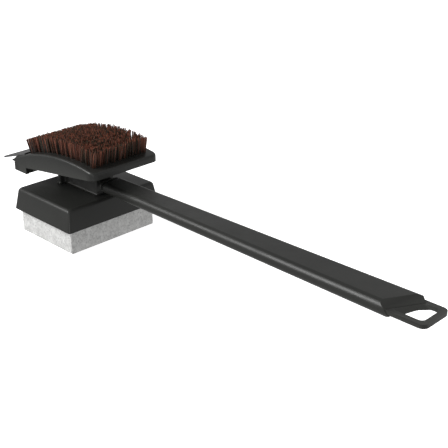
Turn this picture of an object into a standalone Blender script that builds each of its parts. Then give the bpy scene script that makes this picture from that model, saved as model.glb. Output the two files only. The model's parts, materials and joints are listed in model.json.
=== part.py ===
"""Grill cleaning brush: an arched bristle head with a steel scraper on top, a stone block in a tray below.

A neck joins the head and the tray, and a long tapering handle with a hanging loop pushes on the neck's tang.
+X runs from the head to the loop, +Z is up, and the origin is on the stone's underside, at its centre.
"""

import math

import bmesh
import bpy
from mathutils import Matrix, Vector

MM = 0.001

# The clearance that touching pieces keep, and what a cutter reaches past the faces that it opens.
GAP = 0.3 * MM
REACH = 4 * MM

# Stone block and the tray that holds it.
STONE_X = 76.5 * MM
STONE_Y = 96.0 * MM
STONE_HEIGHT = 32.0 * MM
STONE_EDGE = 0.9 * MM
TRAY_X = 85.0 * MM
TRAY_Y = 105.0 * MM
TRAY_BOTTOM = 22.9 * MM
TRAY_TOP = 43.4 * MM
TRAY_DRAFT = 3.3 * MM
TRAY_CORNER = 2.8 * MM
TRAY_SHOULDER = 2.8 * MM
TRAY_ROOF = 3.0 * MM
TRAY_RIB = 2.0 * MM
POCKET_FIELD = (71.0 * MM, 91.0 * MM)
POCKETS = (3, 4)

# Neck: a web along X with a cross wall at its front, a spigot that enters the head, and a tang for the handle.
NECK_FRONT = -22.0 * MM
NECK_WALL = 4.0 * MM
NECK_WALL_HALF = 16.0 * MM
NECK_BACK = 29.0 * MM
NECK_HALF = 10.0 * MM
NECK_FLARE = 1.8 * MM
NECK_CORNER = 1.2 * MM
SPIGOT_X = (-12.0 * MM, 20.0 * MM)
SPIGOT_HALF = 6.5 * MM
SPIGOT_RISE = 5.5 * MM
TANG_X = (26.0 * MM, 88.0 * MM)
TANG_HALF = 6.2 * MM
TANG_Z = (51.4 * MM, 56.2 * MM)
COLLAR_X = (34.8 * MM, 36.6 * MM)
COLLAR_HALF = 10.9 * MM

# Handle: a straight taper along X, with fully rounded sides.
HANDLE_START = 39.3 * MM
HANDLE_END = 375.0 * MM
HANDLE_MID_Z = 53.7 * MM
HANDLE_HALF_WIDTH = (11.7 * MM, 16.2 * MM)
HANDLE_HALF_HEIGHT = (4.95 * MM, 5.85 * MM)
HANDLE_ROUND = 0.92
HANDLE_NOSE = 0.8 * MM
CAVITY_END = 334.0 * MM
CAVITY_SIDE_WALL = 5.0 * MM
CAVITY_FLOOR = 2.0 * MM
CAVITY_ROOF = 2.3 * MM
COVER_X = (46.0 * MM, 326.0 * MM)
COVER_INSET = 4.1 * MM
COVER_THICK = 1.8 * MM

# The handle ends at a slanted lip, X = END_WALL + END_SLANT * Y, with a ramp leading down to it and a leaning wall
# below it. The hanging loop's root lies under the lip, and the underside of the handle ramps up to the loop.
END_WALL = 355.2 * MM
END_SLANT = 0.56
RAMP_START = 348.3 * MM
RAMP_LIP_Z = 55.9 * MM
WALL_LEAN = math.radians(40)
LOWER_RAMP = (346.0 * MM, 353.0 * MM)
ROOT_START = 346.0 * MM
FAR_CORNER = (362.6 * MM, 11.5 * MM)
FAR_CORNER_TURN = math.radians(57)
LOOP_TIP = 379.3 * MM
LOOP_HALF = 15.5 * MM
LOOP_BAR = 4.6 * MM
LOOP_Z = (51.9 * MM, 55.1 * MM)
LOOP_CORNER = 5.2 * MM
LOOP_TONGUE_START = 337.0 * MM
LOOP_TONGUE_HALF = 9.0 * MM
LOOP_SCREW_X = 343.0 * MM

# Brush head: an arched deck, level along Y, over a straight sloping underside.
HEAD_X = (-61.3 * MM, 61.3 * MM)
HEAD_HALF = 37.4 * MM
ARCH_RADIUS = 208.0 * MM
ARCH_X = 25.6 * MM
ARCH_TOP = 82.7 * MM
UNDER_AT_0 = 64.6 * MM
UNDER_SLOPE = 0.14
SKIRT_BACK = -40.6 * MM
SKIRT_BOTTOM = 52.6 * MM
HEAD_FRONT_CORNER = 2.6 * MM
HEAD_BACK_CORNER = 7.0 * MM
HEAD_RIM = 2.2 * MM
DECK_THICK = 7.5 * MM
HEAD_WALL = 3.0 * MM
POCKET_X = (-37.5 * MM, 38.0 * MM)
BASE_THICK = 2.2 * MM
LIP_Z = (60.8 * MM, 62.2 * MM)
LIP_REACH = 1.6 * MM
ARCH_STEPS = 16
CORNER_STEPS = 4
RIM_STEPS = 3

# Scraper: a flat blade on a raised seat at the head's front end, riveted to a backing block inside the skirt.
BLADE_X = (-80.5 * MM, -44.0 * MM)
BLADE_HALF = 35.2 * MM
BLADE_THICK = 1.8 * MM
BLADE_TILT = math.radians(18.2)
BLADE_TOP_AT_FRONT = 66.5 * MM
SEAT_INSET = 0.6 * MM
BACKING_X = (-57.5 * MM, -40.9 * MM)
BACKING_TOP = 59.5 * MM
RIVET_X = -53.4 * MM
RIVET_Y = 24.0 * MM
RIVET_LENGTH = 12.0 * MM

# Bristle tufts, square to the arch. Those of one row share a root bar, in a groove with an anchor wire below it.
TUFT_ROWS = 14
TUFTS_IN_ROW = 9
TUFT_X = (-40.5 * MM, 50.3 * MM)
TUFT_Y = 28.1 * MM
TUFT_RISE = (13.1 * MM, 14.1 * MM)
TUFT_ROOT_RADIUS = 1.9 * MM
TUFT_TIP_RADIUS = 2.35 * MM
TUFT_SIDES = 6
GROOVE_HALF = 2.3 * MM
GROOVE_DEPTH = 5.6 * MM
ROOT_BAR_HALF = 1.6 * MM
ROOT_BAR_Z = (-4.1 * MM, -0.5 * MM)
ANCHOR_HALF = 0.4 * MM
ANCHOR_HEIGHT = 0.9 * MM

# Countersunk screws: head radius, head depth and shank radius.
SCREW_HEAD = 2.6 * MM
SCREW_HEAD_DEPTH = 1.4 * MM
SCREW_SHANK = 1.3 * MM
SCREW_SIDES = 12
POST_RADIUS = 3.2 * MM
UPWARDS = (0, 0, 1)

CHARCOAL = (0.055, 0.055, 0.052, 1.0)
STONE_GREY = (0.72, 0.72, 0.70, 1.0)
BRISTLE_BROWN = (0.16, 0.055, 0.035, 1.0)
BLADE_GREY = (0.12, 0.12, 0.12, 1.0)
STEEL = (0.55, 0.55, 0.56, 1.0)


# ---- shapes worked out from the dimensions ----


def lerp(pair, t):
    """The value at fraction t of the way from pair's first number to its second."""
    return pair[0] + (pair[1] - pair[0]) * t


def arch_z(x):
    """Height of the head's arched deck above X = x."""
    return ARCH_TOP - ARCH_RADIUS + math.sqrt(ARCH_RADIUS**2 - (x - ARCH_X) ** 2)


def arch_tilt(x):
    """How far the deck's normal leans towards +X, in radians."""
    return math.asin((x - ARCH_X) / ARCH_RADIUS)


def under_z(x):
    """Height of the head's underside."""
    return UNDER_AT_0 + UNDER_SLOPE * x


def handle_fraction(x):
    """How far along the handle's taper X = x lies."""
    return (x - HANDLE_START) / (END_WALL - HANDLE_START)


def handle_half_width(x):
    return lerp(HANDLE_HALF_WIDTH, handle_fraction(x))


def handle_half_height(x):
    return lerp(HANDLE_HALF_HEIGHT, handle_fraction(x))


def handle_bottom(x):
    return HANDLE_MID_Z - handle_half_height(x)


def blade_top(x):
    """Height of the blade's upper face, which is a plane."""
    return BLADE_TOP_AT_FRONT + math.tan(BLADE_TILT) * (x - HEAD_X[0])


def rounded_rectangle(half_u, half_v, radius, steps):
    """Points of a rectangle with round corners, anticlockwise from its lower right."""
    points = []
    for corner, (sign_u, sign_v) in enumerate(((1, -1), (1, 1), (-1, 1), (-1, -1))):
        for step in range(steps + 1):
            angle = math.radians(90) * (corner - 1 + step / steps)
            u = sign_u * (half_u - radius) + radius * math.cos(angle)
            v = sign_v * (half_v - radius) + radius * math.sin(angle)
            points.append((u, v))
    return points


def rounded_outline(corners, steps):
    """Points of a polygon whose corners, given as (x, y, radius), are rounded by arcs."""
    points = []
    for index, (x, y, radius) in enumerate(corners):
        here = Vector((x, y))
        back = (Vector(corners[index - 1][:2]) - here).normalized()
        ahead = (Vector(corners[(index + 1) % len(corners)][:2]) - here).normalized()
        half_angle = back.angle(ahead) / 2
        centre = here + (back + ahead).normalized() * radius / math.sin(half_angle)
        start = here + back * radius / math.tan(half_angle) - centre
        turn = math.pi - 2 * half_angle
        if back.cross(ahead) > 0:
            turn = -turn
        for step in range(steps + 1):
            points.append(tuple(centre + Matrix.Rotation(turn * step / steps, 2) @ start))
    return points


# ---- scene helpers ----


def clear_scene():
    for thing in list(bpy.data.objects):
        bpy.data.objects.remove(thing, do_unlink=True)


def new_collection(name):
    collection = bpy.data.collections.new(name)
    bpy.context.scene.collection.children.link(collection)
    return collection


def new_material(name, colour, roughness, metallic=0.0):
    material = bpy.data.materials.new(name)
    material.use_nodes = True
    shader = material.node_tree.nodes["Principled BSDF"]
    shader.inputs["Base Color"].default_value = colour
    shader.inputs["Roughness"].default_value = roughness
    shader.inputs["Metallic"].default_value = metallic
    material.diffuse_color = colour
    return material


def object_from_bmesh(name, mesh_data, collection):
    bmesh.ops.recalc_face_normals(mesh_data, faces=mesh_data.faces)
    mesh = bpy.data.meshes.new(name)
    mesh_data.to_mesh(mesh)
    mesh_data.free()
    thing = bpy.data.objects.new(name, mesh)
    collection.objects.link(thing)
    return thing


def mesh_of(thing):
    """The object's evaluated mesh, welded, with its placing applied. The object is removed."""
    bpy.context.view_layer.update()
    graph = bpy.context.evaluated_depsgraph_get()
    mesh = bpy.data.meshes.new_from_object(thing.evaluated_get(graph))
    mesh.transform(thing.matrix_world)
    data = bmesh.new()
    data.from_mesh(mesh)
    bmesh.ops.remove_doubles(data, verts=data.verts, dist=0.001 * MM)
    bpy.data.meshes.remove(mesh)
    bpy.data.objects.remove(thing, do_unlink=True)
    return data


def box_data(low, high):
    """A box between two corners."""
    low, high = Vector(low), Vector(high)
    data = bmesh.new()
    placing = Matrix.Translation((low + high) / 2) @ Matrix.Diagonal((*(high - low), 1))
    bmesh.ops.create_cube(data, size=1, matrix=placing)
    return data


def outline_data(points, low, high, plane="XY"):
    """A closed outline, filled and extruded from low to high along the axis square to its plane."""
    curve = bpy.data.curves.new("outline", "CURVE")
    curve.dimensions = "2D"
    curve.fill_mode = "BOTH"
    curve.extrude = (high - low) / 2
    spline = curve.splines.new("POLY")
    spline.points.add(len(points) - 1)
    for point, (u, v) in zip(spline.points, points):
        point.co = (u, v, 0, 1)
    spline.use_cyclic_u = True
    thing = bpy.data.objects.new("outline", curve)
    bpy.context.scene.collection.objects.link(thing)
    middle = (low + high) / 2
    if plane == "XY":
        thing.matrix_world = Matrix.Translation((0, 0, middle))
    else:
        thing.matrix_world = Matrix.Translation((0, middle, 0)) @ Matrix.Rotation(math.radians(90), 4, "X")
    return mesh_of(thing)


def loft_data(rings, capped=True):
    """A solid through rings of equally many points, closed at its ends unless capped is off."""
    data = bmesh.new()
    loops = [[data.verts.new(point) for point in ring] for ring in rings]
    for near, far in zip(loops, loops[1:]):
        for index in range(len(near)):
            before = index - 1
            data.faces.new((near[before], near[index], far[index], far[before]))
    if capped:
        data.faces.new(loops[0])
        data.faces.new(list(reversed(loops[-1])))
    return data


def turned_data(profile, sides, placing):
    """A solid turned about Z from a profile of (radius, z) points that runs from top to bottom."""
    mesh = bpy.data.meshes.new("profile")
    points = [(radius, 0, z) for radius, z in profile]
    mesh.from_pydata(points, [(i, i + 1) for i in range(len(points) - 1)], [])
    thing = bpy.data.objects.new("profile", mesh)
    bpy.context.scene.collection.objects.link(thing)
    screw = thing.modifiers.new("Turn", "SCREW")
    screw.steps = sides
    screw.render_steps = sides
    screw.use_merge_vertices = True
    screw.merge_threshold = 0.00001
    thing.matrix_world = placing
    return mesh_of(thing)


def gathered(parts):
    """One mesh that holds several separate solids."""
    data = bmesh.new()
    for part in parts:
        mesh = bpy.data.meshes.new("piece")
        part.to_mesh(mesh)
        part.free()
        data.from_mesh(mesh)
        bpy.data.meshes.remove(mesh)
    return data


def bevel_edges(data, chosen, width, segments):
    """Rounds the edges whose two end points satisfy chosen."""
    edges = [edge for edge in data.edges if chosen(edge.verts[0].co, edge.verts[1].co)]
    bmesh.ops.bevel(
        data, geom=edges, offset=width, offset_type="OFFSET", segments=segments, profile=0.5, affect="EDGES"
    )


def upright(a, b):
    """Whether the edge between two points runs mostly up and down."""
    return abs(a.z - b.z) > 3 * max(abs(a.x - b.x), abs(a.y - b.y))


class Part:
    """One named piece, with the Booleans that shape it."""

    def __init__(self, name, data, material):
        self.thing = object_from_bmesh(name, data, PARTS)
        self.thing.data.materials.append(material)

    def combine(self, data, operation):
        tool = object_from_bmesh(f"{self.thing.name}_tool", data, CUTTERS)
        tool.hide_render = True
        tool.display_type = "WIRE"
        boolean = self.thing.modifiers.new(operation.title(), "BOOLEAN")
        boolean.object = tool
        boolean.operation = operation
        boolean.solver = "EXACT"

    def cut(self, data):
        self.combine(data, "DIFFERENCE")

    def add(self, data):
        self.combine(data, "UNION")

    def smooth(self):
        self.thing.data.shade_smooth()
        self.thing.data.set_sharp_from_angle(angle=math.radians(35))


def screw_placing(at, axis):
    """Puts a fastener's head face at a point, with its shank running the way of axis."""
    turn = Vector((0, 0, -1)).rotation_difference(Vector(axis)).to_matrix().to_4x4()
    return Matrix.Translation(at) @ turn


def screw_data(at, axis, length):
    """A countersunk screw. Its flat head face is at the given point."""
    profile = [
        (0, 0),
        (SCREW_HEAD, 0),
        (SCREW_HEAD, -0.3 * MM),
        (SCREW_SHANK, -SCREW_HEAD_DEPTH),
        (SCREW_SHANK, -length + SCREW_SHANK),
        (0, -length),
    ]
    return turned_data(profile, SCREW_SIDES, screw_placing(at, axis))


def screw_hole_data(at, axis, length):
    """The room that a countersunk screw needs, open behind its head."""
    profile = [
        (0, REACH),
        (SCREW_HEAD + GAP, REACH),
        (SCREW_HEAD + GAP, -0.3 * MM - GAP),
        (SCREW_SHANK + GAP, -SCREW_HEAD_DEPTH - GAP),
        (SCREW_SHANK + GAP, -length - GAP),
        (0, -length - GAP),
    ]
    return turned_data(profile, SCREW_SIDES, screw_placing(at, axis))


def shank_hole_data(at, axis, length, back=REACH):
    """A plain hole for a screw's shank, open behind the given point."""
    profile = [(0, back), (SCREW_SHANK + GAP, back), (SCREW_SHANK + GAP, -length), (0, -length)]
    return turned_data(profile, SCREW_SIDES, screw_placing(at, axis))


# ---- stone block and tray ----


def make_stone():
    data = box_data((-STONE_X / 2, -STONE_Y / 2, 0), (STONE_X / 2, STONE_Y / 2, STONE_HEIGHT))
    bevel_edges(data, lambda a, b: True, STONE_EDGE, 1)
    Part("stone_block", data, STONE_MATERIAL)


def holder_screw_places():
    return [(x, y, TRAY_TOP - TRAY_ROOF) for x in (-2 * MM, 22 * MM) for y in (-6 * MM, 6 * MM)]


def make_holder():
    """The drafted tray: its roof and walls, with ribs that the stone seats on."""
    data = box_data((-TRAY_X / 2, -TRAY_Y / 2, TRAY_BOTTOM), (TRAY_X / 2, TRAY_Y / 2, TRAY_TOP))
    for vert in data.verts:
        if vert.co.z > TRAY_BOTTOM + GAP:
            vert.co.x -= math.copysign(TRAY_DRAFT, vert.co.x)
            vert.co.y -= math.copysign(TRAY_DRAFT, vert.co.y)
    bevel_edges(data, upright, TRAY_CORNER, 4)
    bevel_edges(data, lambda a, b: min(a.z, b.z) > TRAY_TOP - GAP, TRAY_SHOULDER, 4)
    tray = Part("stone_holder", data, CHARCOAL_MATERIAL)
    recess = (STONE_X / 2 + GAP, STONE_Y / 2 + GAP)
    seat = STONE_HEIGHT + GAP
    tray.cut(box_data((-recess[0], -recess[1], TRAY_BOTTOM - REACH), (*recess, seat)))
    pockets = []
    pitch = [(POCKET_FIELD[i] + TRAY_RIB) / POCKETS[i] for i in range(2)]
    for column in range(POCKETS[0]):
        for row in range(POCKETS[1]):
            x = -POCKET_FIELD[0] / 2 + pitch[0] * column
            y = -POCKET_FIELD[1] / 2 + pitch[1] * row
            high = (x + pitch[0] - TRAY_RIB, y + pitch[1] - TRAY_RIB, TRAY_TOP - TRAY_ROOF)
            pockets.append(box_data((x, y, seat - REACH), high))
    tray.cut(gathered(pockets))
    # A head sits in a countersink in the roof, its face level with the pocket.
    tray.cut(gathered([screw_hole_data(at, UPWARDS, 9 * MM) for at in holder_screw_places()]))
    tray.smooth()


def make_holder_screws():
    for number, at in enumerate(holder_screw_places(), 1):
        Part(f"holder_screw_{number}", screw_data(at, UPWARDS, 9 * MM), STEEL_MATERIAL)


# ---- neck, collar and tang ----


def neck_outline(grow):
    """The web and its cross wall in plan, anticlockwise, moved out by grow."""
    front = NECK_FRONT - grow
    inner = NECK_FRONT + NECK_WALL + grow
    back = NECK_BACK + grow
    wall = NECK_WALL_HALF + grow
    half = NECK_HALF + grow
    corner = NECK_CORNER + grow
    notch = NECK_FLARE + 0.4 * MM - grow
    return rounded_outline(
        [
            (front, -wall, corner),
            (inner, -wall, corner),
            (inner, -half, notch),
            (back, -half, corner),
            (back, half, corner),
            (inner, half, notch),
            (inner, wall, corner),
            (front, wall, corner),
        ],
        3,
    )


def tang_screw_places():
    return [(x, 0, handle_bottom(x)) for x in (56 * MM, 74 * MM)]


def make_neck():
    foot = TRAY_TOP + GAP
    rings = []
    for step in range(5):
        # A quarter circle that flares out to the tray's roof.
        angle = math.radians(90) * step / 4
        z = foot + NECK_FLARE * (1 - math.cos(angle))
        rings.append([(x, y, z) for x, y in neck_outline(NECK_FLARE * (1 - math.sin(angle)))])
    rings.append([(x, y, under_z(x) - GAP) for x, y in neck_outline(0)])
    neck = Part("neck", loft_data(rings), CHARCOAL_MATERIAL)
    spigot = box_data((SPIGOT_X[0], -SPIGOT_HALF, 0), (SPIGOT_X[1], SPIGOT_HALF, 1 * MM))
    for vert in spigot.verts:
        vert.co.z = under_z(vert.co.x) + (SPIGOT_RISE if vert.co.z > 0.5 * MM else -REACH)
    neck.add(spigot)
    tang = box_data((TANG_X[0], -TANG_HALF, TANG_Z[0]), (TANG_X[1], TANG_HALF, TANG_Z[1]))
    neck.add(tang)
    holes = [shank_hole_data(at, UPWARDS, 9.5 * MM) for at in holder_screw_places()]
    holes += [shank_hole_data(at, UPWARDS, 7.5 * MM) for at in tang_screw_places()]
    neck.cut(gathered(holes))
    neck.smooth()


def make_collar():
    """The thin ring on the tang, between the neck and the handle."""
    points = rounded_rectangle(COLLAR_HALF, HANDLE_HALF_HEIGHT[0] - 0.4 * MM, 3.6 * MM, 4)
    rings = [[(x, y, z + HANDLE_MID_Z) for y, z in points] for x in COLLAR_X]
    collar = Part("neck_collar", loft_data(rings), CHARCOAL_MATERIAL)
    low = (COLLAR_X[0] - REACH, -TANG_HALF - GAP, TANG_Z[0] - GAP)
    high = (COLLAR_X[1] + REACH, TANG_HALF + GAP, TANG_Z[1] + GAP)
    collar.cut(box_data(low, high))
    collar.smooth()


# ---- handle ----


def handle_ring(x, shrink=0.0):
    """The handle's section at X = x: a flat bar with fully rounded sides."""
    half_height = handle_half_height(x) - shrink
    points = rounded_rectangle(handle_half_width(x) - shrink, half_height, half_height * HANDLE_ROUND, 6)
    return [(x, y, HANDLE_MID_Z + z) for y, z in points]


def handle_slab(x_range, inset, z_of):
    """A block inside the handle that follows its taper. z_of gives its low and high Z at an X."""
    rings = []
    for x in x_range:
        half = handle_half_width(x) - inset
        low, high = z_of(x)
        rings.append([(x, -half, low), (x, half, low), (x, half, high), (x, -half, high)])
    return loft_data(rings)


def slant_frame(x, z):
    """Axes at the slanted end: X square to the wall and out of it, Y along it, Z up."""
    return Matrix.Translation((x, 0, z)) @ Matrix.Rotation(-math.atan(END_SLANT), 4, "Z")


def slanted_box(frame, low, high):
    data = box_data(low, high)
    bmesh.ops.transform(data, matrix=frame, verts=data.verts)
    return data


def cover_screw_places():
    return [(x, 0, handle_bottom(x)) for x in (120 * MM, 200 * MM, 280 * MM)]


def loop_screw_place():
    return (LOOP_SCREW_X, 0, handle_bottom(LOOP_SCREW_X))


def make_handle_body():
    far = 60 * MM
    rings = [handle_ring(HANDLE_START, HANDLE_NOSE), handle_ring(HANDLE_START + HANDLE_NOSE), handle_ring(HANDLE_END)]
    body = Part("handle_body", loft_data(rings), CHARCOAL_MATERIAL)
    wall = slant_frame(END_WALL, RAMP_LIP_Z) @ Matrix.Rotation(-WALL_LEAN, 4, "Y")
    body.cut(slanted_box(wall, (0, -far, -far), (far, far, far)))
    start, end = LOWER_RAMP
    rise = (LOOP_Z[0] - handle_bottom(start)) / (end - start)
    under = [(start - REACH, 0), (end + far, 0), (end + far, LOOP_Z[0]), (end, LOOP_Z[0])]
    under.append((start - REACH, handle_bottom(start) - rise * REACH))
    body.cut(outline_data(under, -far, far, plane="XZ"))
    corner = Matrix.Translation((*FAR_CORNER, 0)) @ Matrix.Rotation(FAR_CORNER_TURN, 4, "Z")
    body.cut(slanted_box(corner, (0, -far, 0), (far, far, far)))
    drop = handle_half_height(RAMP_START) + HANDLE_MID_Z - RAMP_LIP_Z
    run = (END_WALL - RAMP_START) * math.cos(math.atan(END_SLANT))
    ramp = slant_frame(END_WALL, RAMP_LIP_Z) @ Matrix.Rotation(math.atan2(drop, run), 4, "Y")
    body.cut(slanted_box(ramp, (-far, -far, 0), (far, far, far)))

    def cavity_z(x):
        return handle_bottom(x) + CAVITY_FLOOR, HANDLE_MID_Z + handle_half_height(x) - CAVITY_ROOF

    def rebate_z(x):
        return handle_bottom(x) - REACH, handle_bottom(x) + COVER_THICK + GAP

    body.cut(handle_slab((HANDLE_START - REACH, CAVITY_END), CAVITY_SIDE_WALL, cavity_z))
    rebate_x = (COVER_X[0] - GAP, COVER_X[1] + GAP)
    body.cut(handle_slab(rebate_x, COVER_INSET - GAP, rebate_z))
    posts = []
    for x, y, z in cover_screw_places():
        low = z + COVER_THICK + GAP
        high = z + 2 * handle_half_height(x) - 1 * MM
        profile = [(0, high), (POST_RADIUS, high), (POST_RADIUS, low), (0, low)]
        posts.append(turned_data(profile, SCREW_SIDES, Matrix.Translation((x, y, 0))))
    body.add(gathered(posts))
    body.cut(gathered([shank_hole_data(at, UPWARDS, 7.5 * MM) for at in cover_screw_places()]))
    slot_low = (CAVITY_END - REACH, -LOOP_TONGUE_HALF - GAP, LOOP_Z[0] - GAP)
    slot_high = (ROOT_START + REACH, LOOP_TONGUE_HALF + GAP, LOOP_Z[1] + GAP)
    slot = box_data(slot_low, slot_high)
    root = box_data((ROOT_START, -far, LOOP_Z[0] - GAP), (ROOT_START + far, far, LOOP_Z[1] + GAP))
    body.cut(slot)
    body.cut(root)
    body.cut(screw_hole_data(loop_screw_place(), UPWARDS, 8 * MM))
    body.smooth()


def make_handle_cover():
    """The strip that closes the handle's underside."""

    def cover_z(x):
        return handle_bottom(x), handle_bottom(x) + COVER_THICK

    cover = Part("handle_cover", handle_slab(COVER_X, COVER_INSET, cover_z), CHARCOAL_MATERIAL)
    places = cover_screw_places() + tang_screw_places()
    cover.cut(gathered([screw_hole_data(at, UPWARDS, 7.5 * MM) for at in places]))


def make_handle_screws():
    for number, at in enumerate(cover_screw_places(), 1):
        Part(f"handle_cover_screw_{number}", screw_data(at, UPWARDS, 7 * MM), STEEL_MATERIAL)
    for number, at in enumerate(tang_screw_places(), 1):
        Part(f"tang_screw_{number}", screw_data(at, UPWARDS, 7 * MM), STEEL_MATERIAL)
    Part("loop_screw", screw_data(loop_screw_place(), UPWARDS, 8 * MM), STEEL_MATERIAL)


def loop_opening(z):
    """Outline of the loop's opening at a height. Its inner end follows the handle's leaning wall."""
    inner = LOOP_HALF - LOOP_BAR
    tip = LOOP_TIP - LOOP_BAR
    low = [(356.3 * MM, -inner, 0.8 * MM), (367.0 * MM, inner, 4.5 * MM), (361.3 * MM, 4.5 * MM, 2.5 * MM)]
    wall = END_WALL + (RAMP_LIP_Z - LOOP_Z[1]) * math.tan(WALL_LEAN)
    rise = (z - LOOP_Z[0]) / (LOOP_Z[1] - LOOP_Z[0])
    near, far, bend = [(lerp((x, wall + END_SLANT * y), rise), y, radius) for x, y, radius in low]
    corner = LOOP_CORNER - 1.5 * MM
    return rounded_outline([near, (tip, -inner, corner), (tip, inner, corner), far, bend], 4)


def make_hang_loop():
    """The flat hanging loop, its root under the handle's lip, and the tongue that holds it."""
    root = ROOT_START + GAP
    outer = [
        (LOOP_TONGUE_START, -LOOP_TONGUE_HALF, 1 * MM),
        (root, -LOOP_TONGUE_HALF, 0.2 * MM),
        (root, -LOOP_HALF, 0.2 * MM),
        (LOOP_TIP, -LOOP_HALF, LOOP_CORNER),
        (LOOP_TIP, LOOP_HALF, LOOP_CORNER),
        (root, LOOP_HALF, 0.2 * MM),
        (root, LOOP_TONGUE_HALF, 0.2 * MM),
        (LOOP_TONGUE_START, LOOP_TONGUE_HALF, 1 * MM),
    ]
    data = outline_data(rounded_outline(outer, 4), *LOOP_Z)
    loop = Part("hang_loop", data, CHARCOAL_MATERIAL)
    levels = (LOOP_Z[0] - GAP, LOOP_Z[1] + GAP)
    loop.cut(loft_data([[(x, y, z) for x, y in loop_opening(z)] for z in levels]))
    loop.cut(shank_hole_data(loop_screw_place(), UPWARDS, 10 * MM))
    loop.smooth()


# ---- brush head ----


def arch_points(x_range, drop, steps):
    """Points along the arch, or along a parallel curve below it."""
    points = []
    for step in range(steps + 1):
        x = lerp(x_range, step / steps)
        points.append((x, arch_z(x) - drop))
    return points


def deck_edge(inset):
    """The near half of the head's outline in plan, from the back end to the front end, moved in by inset."""
    turns = [math.radians(90) * step / CORNER_STEPS for step in range(CORNER_STEPS + 1)]
    centres = (HEAD_X[1] - HEAD_BACK_CORNER, HEAD_X[0] + HEAD_FRONT_CORNER)
    radius, middle_y = HEAD_BACK_CORNER - inset, HEAD_BACK_CORNER - HEAD_HALF
    back = [(centres[0] + radius * math.cos(turn), middle_y - radius * math.sin(turn)) for turn in turns]
    side = [(lerp(centres, step / ARCH_STEPS), inset - HEAD_HALF) for step in range(1, ARCH_STEPS)]
    radius, middle_y = HEAD_FRONT_CORNER - inset, HEAD_FRONT_CORNER - HEAD_HALF
    front = [(centres[1] - radius * math.sin(turn), middle_y - radius * math.cos(turn)) for turn in turns]
    return back + side + front


def deck_data():
    """The head's block: straight sides up to the rim, a rounded rim, and the arched deck."""
    levels = [(0, None), (0, HEAD_RIM)]
    for step in range(1, RIM_STEPS + 1):
        turn = math.radians(90) * step / RIM_STEPS
        levels.append((HEAD_RIM * (1 - math.cos(turn)), HEAD_RIM * (1 - math.sin(turn))))
    rings = []
    for inset, drop in levels:
        near = [(x, y, SKIRT_BOTTOM if drop is None else arch_z(x) - drop) for x, y in deck_edge(inset)]
        rings.append(near + [(x, -y, z) for x, y, z in reversed(near)])
    data = loft_data(rings, capped=False)
    verts = list(data.verts)
    count = len(rings[0])
    for start in (0, len(verts) - count):
        for step in range(count // 2 - 1):
            near, far = start + step, start + count - 1 - step
            data.faces.new((verts[near], verts[near + 1], verts[far - 1], verts[far]))
    return data


def row_frame(row):
    """Where a row of tufts leaves the deck, with Z along the bristles."""
    x = lerp(TUFT_X, row / (TUFT_ROWS - 1))
    return Matrix.Translation((x, 0, arch_z(x))) @ Matrix.Rotation(arch_tilt(x), 4, "Y")


def row_box(row, half, reach, low, high):
    """A bar along a row, from low to high along the bristles."""
    data = box_data((-half, -TUFT_Y - reach, low), (half, TUFT_Y + reach, high))
    bmesh.ops.transform(data, matrix=row_frame(row), verts=data.verts)
    return data


def base_screw_places():
    return [(x, y, under_z(x)) for x in (-31 * MM, 31.5 * MM) for y in (-26.5 * MM, 26.5 * MM)]


def under_normal():
    return Vector((-UNDER_SLOPE, 0, 1)).normalized()


def blade_slab(low_x, high_x, half, under, over):
    """A block that follows the blade's plane, from so far under its top face to so far over it."""
    data = box_data((low_x, -half, 0), (high_x, half, 1 * MM))
    for vert in data.verts:
        vert.co.z = blade_top(vert.co.x) + (over if vert.co.z > 0.5 * MM else -under)
    return data


def rivet_places():
    return [(RIVET_X, y, blade_top(RIVET_X)) for y in (-RIVET_Y, 0, RIVET_Y)]


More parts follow.
